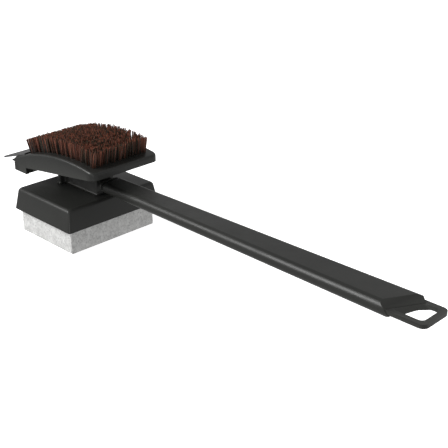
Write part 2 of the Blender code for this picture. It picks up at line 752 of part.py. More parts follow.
def make_head_shell():
    shell = Part("head_shell", deck_data(), CHARCOAL_MATERIAL)
    beyond = HEAD_X[1] + REACH
    shell.cut(outline_data(
        [
            (SKIRT_BACK, SKIRT_BOTTOM - REACH),
            (beyond, SKIRT_BOTTOM - REACH),
            (beyond, under_z(beyond)),
            (SKIRT_BACK, under_z(SKIRT_BACK)),
        ],
        -HEAD_HALF - REACH,
        HEAD_HALF + REACH,
        plane="XZ",
    ))
    seat_x = (HEAD_X[0] + SEAT_INSET, BLADE_X[1])
    seat_over = -(BLADE_THICK + GAP)
    shell.cut(blade_slab(HEAD_X[0] - REACH, BLADE_X[1] + GAP, BLADE_HALF + GAP, BLADE_THICK + 2 * GAP, REACH))
    shell.add(blade_slab(*seat_x, BLADE_HALF - SEAT_INSET, REACH, seat_over))
    inside = HEAD_HALF - HEAD_WALL
    roof = arch_points((POCKET_X[1], POCKET_X[0]), DECK_THICK, 8)
    pocket = roof + [(x, under_z(x) - REACH) for x in POCKET_X]
    shell.cut(outline_data(pocket, -inside, inside, plane="XZ"))
    backing_low = (BACKING_X[0] - GAP, -inside, SKIRT_BOTTOM - REACH)
    backing_high = (SKIRT_BACK + REACH, inside, BACKING_TOP + GAP)
    shell.cut(box_data(backing_low, backing_high))
    posts = []
    for x, y, z in base_screw_places():
        low = z + BASE_THICK + 2 * GAP
        profile = [(0, arch_z(x) - 5 * MM), (POST_RADIUS, arch_z(x) - 5 * MM), (POST_RADIUS, low), (0, low)]
        posts.append(turned_data(profile, SCREW_SIDES, Matrix.Translation((x, y, 0))))
    shell.add(gathered(posts))
    shell.cut(gathered([shank_hole_data(at, under_normal(), 6.5 * MM) for at in base_screw_places()]))
    lip_low = (HEAD_X[0] - LIP_REACH, -HEAD_HALF + 0.2 * MM, LIP_Z[0])
    shell.add(box_data(lip_low, (HEAD_X[0] + 1 * MM, HEAD_HALF - 0.2 * MM, LIP_Z[1])))
    shell.cut(gathered([rivet_hole_data(at) for at in rivet_places()]))
    reach = TUFT_ROOT_RADIUS + 2 * GAP
    grooves = [row_box(row, GROOVE_HALF, reach, -GROOVE_DEPTH, REACH) for row in range(TUFT_ROWS)]
    shell.cut(gathered(grooves))
    shell.smooth()


def make_head_base():
    """The plate that closes the head's underside, with the socket that the neck's spigot enters."""
    side = HEAD_HALF - HEAD_WALL - GAP
    corners = [POCKET_X[0] + GAP, POCKET_X[1] - GAP]
    slab = box_data((corners[0], -side, 0), (corners[1], side, 1 * MM))
    for vert in slab.verts:
        vert.co.z = under_z(vert.co.x) + (BASE_THICK if vert.co.z > 0.5 * MM else 0)
    base = Part("head_base", slab, CHARCOAL_MATERIAL)
    wall = 2 * MM
    room = (SPIGOT_X[0] - GAP, SPIGOT_X[1] + GAP, SPIGOT_HALF + GAP)
    frame_top = SPIGOT_RISE - 1 * MM
    tower = box_data((room[0] - wall, -room[2] - wall, 0), (room[1] + wall, room[2] + wall, 1 * MM))
    hole = box_data((room[0], -room[2], 0), (room[1], room[2], 1 * MM))
    for vert in tower.verts:
        vert.co.z = under_z(vert.co.x) + (frame_top if vert.co.z > 0.5 * MM else 0.5 * MM)
    for vert in hole.verts:
        vert.co.z = under_z(vert.co.x) + (SPIGOT_RISE + REACH if vert.co.z > 0.5 * MM else -REACH)
    base.add(tower)
    base.cut(hole)
    base.cut(gathered([screw_hole_data(at, under_normal(), 7 * MM) for at in base_screw_places()]))


def make_head_base_screws():
    for number, at in enumerate(base_screw_places(), 1):
        Part(f"head_base_screw_{number}", screw_data(at, under_normal(), 6 * MM), STEEL_MATERIAL)


# ---- scraper ----


def rivet_profile(grow, top, length):
    """A flush rivet: a tapered head and a plain shank."""
    return [
        (0, top),
        (2.4 * MM + grow, top),
        (2.4 * MM + grow, -0.2 * MM - grow),
        (1.5 * MM + grow, -0.8 * MM - grow),
        (1.5 * MM + grow, -length),
        (0, -length),
    ]


def rivet_placing(at):
    return Matrix.Translation(at) @ Matrix.Rotation(-BLADE_TILT, 4, "Y")


def rivet_data(at):
    return turned_data(rivet_profile(0, 0, RIVET_LENGTH), SCREW_SIDES, rivet_placing(at))


def rivet_hole_data(at):
    return turned_data(rivet_profile(GAP, REACH, RIVET_LENGTH + GAP), SCREW_SIDES, rivet_placing(at))


def make_scraper():
    blade = Part("scraper_blade", blade_slab(*BLADE_X, BLADE_HALF, BLADE_THICK, 0), BLADE_MATERIAL)
    blade.cut(gathered([rivet_hole_data(at) for at in rivet_places()]))
    for number, at in enumerate(rivet_places(), 1):
        Part(f"blade_rivet_{number}", rivet_data(at), STEEL_MATERIAL)
    side = HEAD_HALF - HEAD_WALL - GAP
    data = box_data((BACKING_X[0], -side, SKIRT_BOTTOM), (BACKING_X[1], side, BACKING_TOP))
    bevel_edges(data, lambda a, b: max(a.z, b.z) < SKIRT_BOTTOM + GAP, 0.6 * MM, 1)
    backing = Part("scraper_backing", data, CHARCOAL_MATERIAL)
    backing.cut(gathered([rivet_hole_data(at) for at in rivet_places()]))


# ---- bristles ----


def tuft_data(row, column):
    """One tuft, from inside its root bar to the trimmed tips."""
    rise = lerp(TUFT_RISE, row / (TUFT_ROWS - 1))
    y = lerp((-TUFT_Y, TUFT_Y), column / (TUFTS_IN_ROW - 1))
    low = sum(ROOT_BAR_Z) / 2
    tuft = bmesh.new()
    bmesh.ops.create_cone(
        tuft,
        cap_ends=True,
        segments=TUFT_SIDES,
        radius1=TUFT_ROOT_RADIUS,
        radius2=TUFT_TIP_RADIUS,
        depth=rise - low,
        matrix=row_frame(row) @ Matrix.Translation((0, y, (rise + low) / 2)),
    )
    return tuft


def make_bristles():
    for row in range(TUFT_ROWS):
        bar = row_box(row, ROOT_BAR_HALF, TUFT_ROOT_RADIUS + GAP, *ROOT_BAR_Z)
        bristles = Part(f"bristle_row_{row + 1:02d}", bar, BRISTLE_MATERIAL)
        bristles.add(gathered([tuft_data(row, column) for column in range(TUFTS_IN_ROW)]))
        low = -GROOVE_DEPTH + GAP
        wire = row_box(row, ANCHOR_HALF, 0, low, low + ANCHOR_HEIGHT)
        Part(f"anchor_wire_{row + 1:02d}", wire, STEEL_MATERIAL)


clear_scene()
PARTS = new_collection("grill_brush")
CUTTERS = new_collection("cutters")
CHARCOAL_MATERIAL = new_material("charcoal_plastic", CHARCOAL, 0.42)
STONE_MATERIAL = new_material("cleaning_stone", STONE_GREY, 0.95)
BRISTLE_MATERIAL = new_material("bristle", BRISTLE_BROWN, 0.5)
BLADE_MATERIAL = new_material("dark_blade", BLADE_GREY, 0.4, metallic=0.9)
STEEL_MATERIAL = new_material("fastener_steel", STEEL, 0.35, metallic=1.0)

make_stone()
make_holder()
make_holder_screws()
make_neck()
make_collar()
make_handle_body()
make_handle_cover()
make_handle_screws()
make_hang_loop()
make_head_shell()
make_head_base()
make_head_base_screws()
make_scraper()
make_bristles()
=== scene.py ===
"""Looks of the grill cleaning brush: refined pieces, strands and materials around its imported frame.

+X runs from the head to the hanging loop, +Z is up, and the origin is on the stone's underside.
"""

import json
import math
import random

import bmesh
import bpy
from mathutils import Matrix, Vector, noise


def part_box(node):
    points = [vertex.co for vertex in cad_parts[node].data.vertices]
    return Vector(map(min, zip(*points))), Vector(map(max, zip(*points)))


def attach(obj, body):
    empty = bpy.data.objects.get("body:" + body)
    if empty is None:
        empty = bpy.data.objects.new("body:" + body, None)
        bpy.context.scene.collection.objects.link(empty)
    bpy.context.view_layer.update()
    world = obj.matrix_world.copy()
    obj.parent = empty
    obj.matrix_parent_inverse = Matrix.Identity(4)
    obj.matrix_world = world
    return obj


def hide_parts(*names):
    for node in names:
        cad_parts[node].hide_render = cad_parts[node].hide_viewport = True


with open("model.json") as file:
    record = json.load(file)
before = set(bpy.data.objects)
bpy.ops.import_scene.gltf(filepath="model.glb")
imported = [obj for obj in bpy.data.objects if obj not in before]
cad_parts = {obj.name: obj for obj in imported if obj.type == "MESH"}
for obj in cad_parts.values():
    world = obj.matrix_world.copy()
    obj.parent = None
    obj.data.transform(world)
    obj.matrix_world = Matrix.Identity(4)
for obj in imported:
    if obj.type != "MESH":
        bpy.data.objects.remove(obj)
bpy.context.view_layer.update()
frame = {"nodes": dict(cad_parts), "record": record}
MM = 0.001

# The photograph's view: what the camera looks at, from how far, and at what angles.
LOOK_AT = Vector((0.1806, 0.0, 0.0602))
CAMERA_DISTANCE = 0.7267
CAMERA_AZIMUTH = math.radians(44.69)
CAMERA_ELEVATION = math.radians(24.28)
CAMERA_LENS = 73.24

# The studio around the object is brighter below and towards +Y, as over a white table.
STUDIO_LEVEL = 0.50
STUDIO_LEAN = (0.05, 0.15, -0.18)
FLOOR_HALF = 4.0
FLOOR_DROP = 0.2 * MM
FLOOR_GLOW = 0.80

# Suns: where each shines from, its strength, and its spread in degrees.
KEY_SUN = ((-0.42, -0.70, 0.58), 3.6, 34)
FRONT_SUN = ((0.55, -0.80, 0.02), 0.5, 25)

# Bristles: rows follow the head's arch, an arc of this radius whose top is at ARCH_X. STRAND_BEND, TIP_SWAY,
# HEIGHT_SPREAD and PROUD_BY are in millimetres, and PROUD_SHARE of the strands stand proud by that much.
ARCH_RADIUS = 208.0 * MM
ARCH_X = 25.6 * MM
ARCH_TOP = 82.7 * MM
TUFT_ROWS = 14
TUFTS_IN_ROW = 9
TUFT_X = (-40.5 * MM, 50.3 * MM)
TUFT_Y = 28.1 * MM
TUFT_RISE = (13.3 * MM, 14.3 * MM)
STRANDS_IN_TUFT = 34
STRAND_RADIUS = 0.34 * MM
TUFT_FOOT_RADIUS = 2.4 * MM
TUFT_SPREAD = 3.4 * MM
STRAND_SIDES = 4
STRAND_STEPS = 3
STRAND_TAPER = 0.25
STRAND_BEND = 0.16
STRAND_TURN = 0.3
TIP_SWAY = 0.35
HEIGHT_SPREAD = 0.28
FOOT_DEPTH = 1.0 * MM
PROUD_SHARE = 0.07
PROUD_BY = (0.6, 1.6)
DARK_SHARE = 0.42
GOLDEN_ANGLE = 2.39996
FIRST_SEED = 1000

# The gap between touching pieces, the finer one at the loop's root, and how far a cutter reaches past what
# it opens. An edge that turns by more than SMOOTH_ANGLE counts as sharp.
GAP = 0.3 * MM
SEAM = 0.04 * MM
REACH = 4 * MM
SMOOTH_ANGLE = math.radians(32)
EDGE_SEGMENTS = 3
ROUND_STEPS = 8
RIGHT_ANGLE = math.radians(90)
MERGE = 0.002 * MM

# Tray, and the stone in it. Going up its round shoulder, the tray comes in by TRAY_SHOULDER_REACH of the
# shoulder's height, and its corner radius grows by TRAY_CORNER_GROWTH of it. STONE_ROUGH and STONE_CHIP each
# hold the least depth of wear and what noise adds to it, in millimetres. The scales are in features a metre.
TRAY_DRAFT = 3.3 * MM
TRAY_CORNER = 2.8 * MM
TRAY_SHOULDER = 2.8 * MM
TRAY_SHOULDER_REACH = 0.93
TRAY_CORNER_GROWTH = 0.3
TRAY_ROOF = 3.0 * MM
TRAY_RIB = 2.0 * MM
TRAY_EDGE = 0.35 * MM
POCKET_FIELD = (71.0 * MM, 91.0 * MM)
POCKETS = (3, 4)
STONE_CELL = 1.2 * MM
STONE_WEAR = 1.1 * MM
STONE_ROUGH = (0.10, 0.16)
STONE_CHIP = (0.35, 0.7)
STONE_ROUGH_SCALE = 900
STONE_CHIP_SCALE = 260
STONE_FLAT = 0.01 * MM

# Neck.
NECK_FRONT = -22.0 * MM
NECK_WALL = 4.0 * MM
NECK_WALL_HALF = 16.0 * MM
NECK_BACK = 29.0 * MM
NECK_HALF = 10.0 * MM
NECK_FLARE = 1.8 * MM
NECK_CORNER = 1.2 * MM
NECK_NOTCH = 0.4 * MM
SPIGOT_X = (-12.0 * MM, 20.0 * MM)
SPIGOT_HALF = 6.5 * MM
SPIGOT_RISE = 5.5 * MM
TANG_X = (26.0 * MM, 88.0 * MM)
TANG_HALF = 6.2 * MM
TANG_Z = (51.4 * MM, 56.2 * MM)
NECK_EDGE = 0.3 * MM
COLLAR_HALF = 10.9 * MM
COLLAR_INSET = 0.4 * MM
COLLAR_CORNER = 3.6 * MM
COLLAR_EDGE = 0.4 * MM

# Handle and hanging loop.
HANDLE_START = 39.3 * MM
HANDLE_END = 375.0 * MM
HANDLE_MID_Z = 53.7 * MM
HANDLE_HALF_WIDTH = (11.7 * MM, 16.2 * MM)
HANDLE_HALF_HEIGHT = (4.95 * MM, 5.85 * MM)
HANDLE_ROUND = 0.92
HANDLE_NOSE = 1.2 * MM
HANDLE_NOSE_STEPS = 4
HANDLE_SIDE_STEPS = 14
HANDLE_EDGE = 0.45 * MM
FAR = 60 * MM
COVER_X = (46.0 * MM, 326.0 * MM)
COVER_INSET = 4.1 * MM
COVER_THICK = 1.8 * MM
END_WALL = 355.2 * MM
END_SLANT = 0.56
RAMP_START = 348.3 * MM
RAMP_LIP_Z = 55.9 * MM
WALL_LEAN = math.radians(40)
LOWER_RAMP = (346.0 * MM, 353.0 * MM)
ROOT_START = 346.0 * MM
FAR_CORNER = (362.6 * MM, 11.5 * MM)
FAR_CORNER_TURN = math.radians(57)
LOOP_TIP = 379.3 * MM
LOOP_HALF = 15.5 * MM
LOOP_BAR = 4.6 * MM
LOOP_Z = (51.9 * MM, 55.1 * MM)
LOOP_CORNER = 5.2 * MM
LOOP_INNER_CORNER = 3.7 * MM
LOOP_ROOT_CORNER = 0.2 * MM
OPENING_NEAR = (356.3 * MM, 0.8 * MM)
OPENING_FAR = (367.0 * MM, 4.5 * MM)
OPENING_BEND = (361.3 * MM, 4.5 * MM, 2.5 * MM)
LOOP_EDGE = 0.35 * MM

# Head.
HEAD_X = (-61.3 * MM, 61.3 * MM)
HEAD_HALF = 37.4 * MM
UNDER_AT_0 = 64.6 * MM
UNDER_SLOPE = 0.14
SKIRT_BACK = -40.6 * MM
SKIRT_BOTTOM = 52.6 * MM
HEAD_FRONT_CORNER = 2.6 * MM
HEAD_BACK_CORNER = 7.0 * MM
HEAD_RIM = 2.2 * MM
HEAD_WALL = 3.0 * MM
POCKET_X = (-37.5 * MM, 38.0 * MM)
BASE_THICK = 2.2 * MM
LIP_Z = (60.8 * MM, 62.2 * MM)
LIP_REACH = 1.6 * MM
LIP_ROOT = 1 * MM
LIP_INSET = 0.2 * MM
HEAD_EDGE = 0.3 * MM
ARCH_STEPS = 48
BLADE_X = (-80.5 * MM, -44.0 * MM)
BLADE_HALF = 35.2 * MM
BLADE_THICK = 1.8 * MM
BLADE_TILT = math.radians(18.2)
BLADE_TOP_AT_FRONT = 66.5 * MM
BLADE_EDGE = 0.25 * MM
SEAT_INSET = 0.6 * MM
BACKING_X = (-57.5 * MM, -40.9 * MM)
BACKING_TOP = 59.5 * MM


def lerp(pair, t):
    """The value at fraction t of the way from pair's first number to its second."""
    return pair[0] + (pair[1] - pair[0]) * t


def arch_z(x):
    """Height of the head's deck above X = x."""
    return ARCH_TOP - ARCH_RADIUS + math.sqrt(ARCH_RADIUS**2 - (x - ARCH_X) ** 2)


def arch_tilt(x):
    """How far the deck's normal leans towards +X, in radians."""
    return math.asin((x - ARCH_X) / ARCH_RADIUS)


# ---- materials ----


class Shader:
    """A material's node tree, with short calls for the nodes used here."""

    def __init__(self, name, roughness=0.5, metallic=0.0):
        self.material = bpy.data.materials.new(name)
        self.material.use_nodes = True
        self.tree = self.material.node_tree
        self.surface = self.tree.nodes["Principled BSDF"]
        self.surface.inputs["Roughness"].default_value = roughness
        self.surface.inputs["Metallic"].default_value = metallic
        self.coordinates = self.tree.nodes.new("ShaderNodeTexCoord").outputs["Object"]

    def node(self, kind, **values):
        made = self.tree.nodes.new(kind)
        for name, value in values.items():
            setattr(made, name, value)
        return made

    def join(self, output, socket):
        self.tree.links.new(output, socket)

    def noise(self, scale, detail=3.0, roughness=0.55, stretch=None):
        """Noise at so many features a metre, stretched along the axes if asked."""
        made = self.node("ShaderNodeTexNoise")
        made.inputs["Scale"].default_value = scale
        made.inputs["Detail"].default_value = detail
        made.inputs["Roughness"].default_value = roughness
        source = self.coordinates
        if stretch:
            mapping = self.node("ShaderNodeMapping")
            mapping.inputs["Scale"].default_value = stretch
            self.join(source, mapping.inputs["Vector"])
            source = mapping.outputs["Vector"]
        self.join(source, made.inputs["Vector"])
        return made.outputs["Fac"]

    def cells(self, scale):
        """Distance to the nearest cell's centre, with so many cells a metre."""
        made = self.node("ShaderNodeTexVoronoi")
        made.inputs["Scale"].default_value = scale
        self.join(self.coordinates, made.inputs["Vector"])
        return made.outputs["Distance"]

    def ramp(self, output, stops):
        """Colours or greys against a value. stops holds (place, colour or grey) pairs."""
        made = self.node("ShaderNodeValToRGB")
        elements = made.color_ramp.elements
        while len(elements) < len(stops):
            elements.new(0.5)
        for element, (place, tone) in zip(elements, stops):
            element.position = place
            element.color = (*tone, 1) if isinstance(tone, tuple) else (tone, tone, tone, 1)
        self.join(output, made.inputs["Fac"])
        return made.outputs["Color"]

    def mix(self, factor, one, other, blend="MIX"):
        """Mixes two colours, which may be outputs or plain colours."""
        made = self.node("ShaderNodeMix", data_type="RGBA", blend_type=blend)
        sockets = [made.inputs[0], made.inputs[6], made.inputs[7]]
        for value, socket in zip((factor, one, other), sockets):
            if isinstance(value, bpy.types.NodeSocket):
                self.join(value, socket)
            elif isinstance(value, tuple):
                socket.default_value = (*value, 1)
            else:
                socket.default_value = value
        return made.outputs[2]

    def edges(self, low, high):
        """0 on flats and 1 on worn outer edges, from how sharply the surface turns."""
        geometry = self.node("ShaderNodeNewGeometry")
        return self.ramp(geometry.outputs["Pointiness"], [(low, 0.0), (high, 1.0)])

    def bump(self, output, strength, depth, after=None):
        made = self.node("ShaderNodeBump")
        made.inputs["Strength"].default_value = strength
        made.inputs["Distance"].default_value = depth
        self.join(output, made.inputs["Height"])
        if after is not None:
            self.join(after, made.inputs["Normal"])
        return made.outputs["Normal"]

    def finish(self, colour, roughness=None, normal=None):
        self.join(colour, self.surface.inputs["Base Color"])
        if roughness is not None:
            self.join(roughness, self.surface.inputs["Roughness"])
        if normal is not None:
            self.join(normal, self.surface.inputs["Normal"])
        return self.material


def moulded_plastic(name, dark, light, rough):
    """Charcoal plastic with a fine moulded grain, faint flow marks, dust and rubbed edges."""
    shader = Shader(name)
    flow = shader.noise(14, detail=4, stretch=(0.35, 1, 1))
    colour = shader.mix(shader.ramp(flow, [(0.3, 0.0), (0.7, 1.0)]), dark, light)
    dust = shader.ramp(shader.noise(900, detail=2), [(0.66, 0.0), (0.78, 0.35)])
    colour = shader.mix(dust, colour, tuple(tone * 1.9 for tone in light))
    worn = shader.edges(0.52, 0.62)
    colour = shader.mix(worn, colour, tuple(tone * 1.5 for tone in light))
    patches = shader.noise(60, detail=5)
    roughness = shader.ramp(patches, [(0.25, rough - 0.06), (0.75, rough + 0.08)])
    grain = shader.bump(shader.noise(2600, detail=1), 0.35, 0.05 * MM)
    waves = shader.bump(shader.noise(35, detail=2), 0.25, 0.12 * MM, after=grain)
    shader.surface.inputs["Specular IOR Level"].default_value = 0.36
    return shader.finish(colour, roughness, waves)


def porous_stone(name):
    """Light grey abrasive: pale grit, darker specks, and open pores darkened with painted shade."""
    shader = Shader(name, roughness=0.95)
    shader.surface.inputs["Specular IOR Level"].default_value = 0.2
    patches = shader.noise(160, detail=6, roughness=0.75)
    cloud = shader.ramp(patches, [(0.3, (0.47, 0.47, 0.46)), (0.7, (0.74, 0.74, 0.73))])
    specks = shader.ramp(shader.noise(620, detail=4, roughness=0.8), [(0.50, 0.0), (0.68, 0.75)])
    colour = shader.mix(specks, cloud, (0.28, 0.28, 0.28))
    pores = shader.cells(420)
    # Painted shade: the pits at the cells' centres are darkened in the colour.
    painted_pore_shade = shader.ramp(pores, [(0.05, 0.8), (0.18, 0.0)])
    colour = shader.mix(painted_pore_shade, colour, (0.24, 0.24, 0.24))
    grit = shader.bump(shader.noise(1500, detail=4, roughness=0.8), 0.6, 0.25 * MM)
    pitted = shader.bump(shader.ramp(pores, [(0.10, 0.0), (0.30, 1.0)]), 0.7, 0.5 * MM, after=grit)
    return shader.finish(colour, normal=pitted)


def strand_material(name, root, tip, rough):
    """One kind of strand, with painted shade that darkens it towards its root, each strand in its own tone.
    """
    shader = Shader(name, roughness=rough)
    along = shader.node("ShaderNodeAttribute", attribute_name="along").outputs["Fac"]
    tone = shader.node("ShaderNodeAttribute", attribute_name="tone").outputs["Fac"]
    # Painted shade: the colour runs from the dark root colour up to the tip colour along each strand.
    colour = shader.mix(shader.ramp(along, [(0.0, 0.0), (0.85, 1.0)]), root, tip)
    shades = shader.ramp(tone, [(0.0, (0.45, 0.45, 0.45)), (1.0, (1.55, 1.5, 1.45))])
    colour = shader.mix(1.0, colour, shades, blend="MULTIPLY")
    scuffs = shader.noise(1800, detail=2, stretch=(1, 1, 0.2))
    roughness = shader.ramp(scuffs, [(0.3, rough - 0.08), (0.7, rough + 0.12)])
    normal = shader.bump(scuffs, 0.3, 0.05 * MM)
    return shader.finish(colour, roughness, normal)


def coated_steel(name):
    """A dark satin coating with fine scratches across the blade and bare metal on its edges."""
    shader = Shader(name, metallic=0.15)
    blotches = shader.noise(90, detail=5)
    colour = shader.ramp(blotches, [(0.3, (0.022, 0.022, 0.022)), (0.7, (0.036, 0.036, 0.035))])
    lines = shader.noise(500, detail=3, stretch=(0.12, 3, 1))
    scratches = shader.ramp(lines, [(0.66, 0.0), (0.70, 1.0)])
    colour = shader.mix(scratches, colour, (0.16, 0.16, 0.165))
    colour = shader.mix(shader.edges(0.53, 0.6), colour, (0.22, 0.22, 0.22))
    roughness = shader.ramp(lines, [(0.3, 0.50), (0.7, 0.66)])
    shader.surface.inputs["Specular IOR Level"].default_value = 0.3
    normal = shader.bump(lines, 0.25, 0.04 * MM)
    return shader.finish(colour, roughness, normal)


def plated_steel(name):
    """Zinc-plated fasteners with fine turning marks and a little tarnish."""
    shader = Shader(name, metallic=1.0)
    tarnish = shader.noise(600, detail=4)
    colour = shader.ramp(tarnish, [(0.35, (0.30, 0.29, 0.27)), (0.65, (0.58, 0.58, 0.59))])
    marks = shader.noise(4000, detail=1, stretch=(1, 1, 4))
    roughness = shader.ramp(marks, [(0.3, 0.25), (0.7, 0.48)])
    normal = shader.bump(marks, 0.2, 0.03 * MM)
    return shader.finish(colour, roughness, normal)


PLASTIC = moulded_plastic("charcoal_plastic_look", (0.0150, 0.0154, 0.0142), (0.0210, 0.0214, 0.0196), 0.38)
STONE = porous_stone("stone_look")
# Each strand look's first colour is its root, darkened as painted shade; the second is its tip.
RED_STRAND = strand_material("red_brown_strands", (0.034, 0.014, 0.009), (0.190, 0.064, 0.038), 0.42)
DARK_STRAND = strand_material("dark_strands", (0.010, 0.009, 0.007), (0.040, 0.030, 0.017), 0.42)
BLADE = coated_steel("blade_look")
STEEL = plated_steel("fastener_look")
LOOKS = {
    "charcoal_plastic": PLASTIC,
    "cleaning_stone": STONE,
    "bristle": RED_STRAND,
    "dark_blade": BLADE,
    "fastener_steel": STEEL,
}


def dress_cad_nodes():
    """Every CAD node takes the look of its material slot."""
    for entry in frame["record"]["subparts"]:
        node = frame["nodes"][entry["node"]]
        node.data.materials.clear()
        node.data.materials.append(LOOKS[entry["material_slot"]])


# ---- shapes ----


def under_z(x):
    """Height of the head's underside."""
    return UNDER_AT_0 + UNDER_SLOPE * x


def handle_fraction(x):
    """How far X = x lies along the handle's taper, from 0 at its start to 1 at its end wall."""
    return (x - HANDLE_START) / (END_WALL - HANDLE_START)


def handle_half_width(x):
    return lerp(HANDLE_HALF_WIDTH, handle_fraction(x))


def handle_half_height(x):
    return lerp(HANDLE_HALF_HEIGHT, handle_fraction(x))


def handle_bottom(x):
    return HANDLE_MID_Z - handle_half_height(x)


def blade_top(x):
    """Height of the blade's upper face, which is a plane."""
    return BLADE_TOP_AT_FRONT + math.tan(BLADE_TILT) * (x - HEAD_X[0])


def quarter_turn(steps=ROUND_STEPS):
    """Angles from 0 to a right angle, in even steps."""
    return [RIGHT_ANGLE * step / steps for step in range(steps + 1)]


def rounded_rectangle(half_u, half_v, radius, steps=ROUND_STEPS):
    """Points of a rectangle with round corners, anticlockwise from its lower right."""
    points = []
    for corner, (sign_u, sign_v) in enumerate(((1, -1), (1, 1), (-1, 1), (-1, -1))):
        for step in range(steps + 1):
            angle = RIGHT_ANGLE * (corner - 1 + step / steps)
            u = sign_u * (half_u - radius) + radius * math.cos(angle)
            v = sign_v * (half_v - radius) + radius * math.sin(angle)
            points.append((u, v))
    return points


def rounded_outline(corners):
    """Points of a polygon whose corners, given as (x, y, radius), are rounded by arcs."""
    points = []
    for index, (x, y, radius) in enumerate(corners):
        here = Vector((x, y))
        back = (Vector(corners[index - 1][:2]) - here).normalized()
        ahead = (Vector(corners[(index + 1) % len(corners)][:2]) - here).normalized()
        half_angle = back.angle(ahead) / 2
        centre = here + (back + ahead).normalized() * radius / math.sin(half_angle)
        start = here + back * radius / math.tan(half_angle) - centre
        turn = math.pi - 2 * half_angle
        if back.cross(ahead) > 0:
            turn = -turn
        for step in range(ROUND_STEPS + 1):
            points.append(tuple(centre + Matrix.Rotation(turn * step / ROUND_STEPS, 2) @ start))
    return points


def at_height(points, z):
    return [(x, y, z) for x, y in points]


def loft(rings, capped=True):
    """A solid through rings of equally many points, closed at its ends unless capped is off."""
    data = bmesh.new()
    loops = [[data.verts.new(point) for point in ring] for ring in rings]
    for near, far in zip(loops, loops[1:]):
        for index in range(len(near)):
            before = index - 1
            data.faces.new((near[before], near[index], far[index], far[before]))
    if capped:
        data.faces.new(loops[0])
        data.faces.new(list(reversed(loops[-1])))
        bmesh.ops.recalc_face_normals(data, faces=data.faces)
    return data


def box(low, high, placing=None):
    """A box between two corners, which a placing may then move."""
    low, high = Vector(low), Vector(high)
    data = bmesh.new()
    centred = Matrix.Translation((low + high) / 2) @ Matrix.Diagonal((*(high - low), 1))
    bmesh.ops.create_cube(data, size=1, matrix=centred)
    if placing:
        bmesh.ops.transform(data, matrix=placing, verts=data.verts)
    return data


def slanted_slab(x_range, half, heights):
    """A block along X whose low and high faces follow heights, a function of X."""
    rings = []
    for x in x_range:
        low, high = heights(x)
        width = half(x) if callable(half) else half
        rings.append([(x, -width, low), (x, width, low), (x, width, high), (x, -width, high)])
    return loft(rings)


def blade_slab(low_x, high_x, half, under, over):
    """A block that follows the blade's plane, from so far under its top face to so far over it."""
    return slanted_slab((low_x, high_x), half, lambda x: (blade_top(x) - under, blade_top(x) + over))


def linked(name, data):
    """An object in the scene with this solid as its mesh."""
    mesh = bpy.data.meshes.new(name)
    data.to_mesh(mesh)
    data.free()
    thing = bpy.data.objects.new(name, mesh)
    bpy.context.scene.collection.objects.link(thing)
    return thing


def round_edges(thing, width):
    """Adds a bevel that rounds the object's sharp edges."""
    bevel = thing.modifiers.new("Edges", "BEVEL")
    bevel.width = width
    bevel.segments = EDGE_SEGMENTS
    bevel.limit_method = "ANGLE"
    bevel.angle_limit = SMOOTH_ANGLE
    return bevel


def carved(data, steps):
    """The solid after each (operation, solid) step in turn. ("BEVEL", width) rounds its sharp edges."""
    target = linked("temporary", data)
    tools = []
    for operation, value in steps:
        if operation == "BEVEL":
            round_edges(target, value)
            continue
        tool = linked("temporary", value)
        boolean = target.modifiers.new("Step", "BOOLEAN")
        boolean.operation = operation
        boolean.solver = "EXACT"
        boolean.object = tool
        tools.append(tool)
    bpy.context.view_layer.update()
    graph = bpy.context.evaluated_depsgraph_get()
    mesh = bpy.data.meshes.new_from_object(target.evaluated_get(graph))
    result = bmesh.new()
    result.from_mesh(mesh)
    for thing in (target, *tools):
        bpy.data.objects.remove(thing, do_unlink=True)
    bmesh.ops.remove_doubles(result, verts=result.verts, dist=MERGE)
    bmesh.ops.dissolve_degenerate(result, edges=result.edges, dist=MERGE)
    return result


# ---- pieces ----


def new_piece(name, data, body, slot, *replaced, edge=0.0):
    """Makes a mesh piece that rides on a body and stands for CAD nodes. edge rounds its sharp edges."""
    piece = linked(name, data)
    piece.data.materials.append(LOOKS[slot])
    piece.data.shade_smooth()
    if edge:
        round_edges(piece, edge).harden_normals = True
    else:
        piece.data.set_sharp_from_angle(angle=SMOOTH_ANGLE)
        weighted = piece.modifiers.new("Normals", "WEIGHTED_NORMAL")
        weighted.keep_sharp = True
    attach(piece, body)
    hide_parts(*replaced)
    return piece


def make_tray():
    """The drafted tray with a round shoulder, the stone's recess and the ribs above it."""
    low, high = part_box("stone_holder")
    half = (high.x, high.y)
    slope = TRAY_DRAFT / (high.z - low.z)
    rings = [at_height(rounded_rectangle(*half, TRAY_CORNER), low.z)]
    for turn in quarter_turn():
        z = high.z - TRAY_SHOULDER * (1 - math.sin(turn))
        inwards = TRAY_SHOULDER * (1 - math.cos(turn))
        inset = slope * (z - low.z) + inwards * TRAY_SHOULDER_REACH
        radius = TRAY_CORNER + inwards * TRAY_CORNER_GROWTH
        rings.append(at_height(rounded_rectangle(half[0] - inset, half[1] - inset, radius), z))
    stone_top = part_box("stone_block")[1]
    seat = stone_top.z + GAP
    recess = (stone_top.x + GAP, stone_top.y + GAP)
    steps = [("DIFFERENCE", box((-recess[0], -recess[1], low.z - REACH), (*recess, seat)))]
    pitch = [(POCKET_FIELD[i] + TRAY_RIB) / POCKETS[i] for i in range(2)]
    for column in range(POCKETS[0]):
        for row in range(POCKETS[1]):
            x = -POCKET_FIELD[0] / 2 + pitch[0] * column
            y = -POCKET_FIELD[1] / 2 + pitch[1] * row
            top = (x + pitch[0] - TRAY_RIB, y + pitch[1] - TRAY_RIB, high.z - TRAY_ROOF)
            steps.append(("DIFFERENCE", box((x, y, seat - REACH), top)))
    data = carved(loft(rings), steps)
    new_piece("tray", data, "tool", "charcoal_plastic", "stone_holder", edge=TRAY_EDGE)


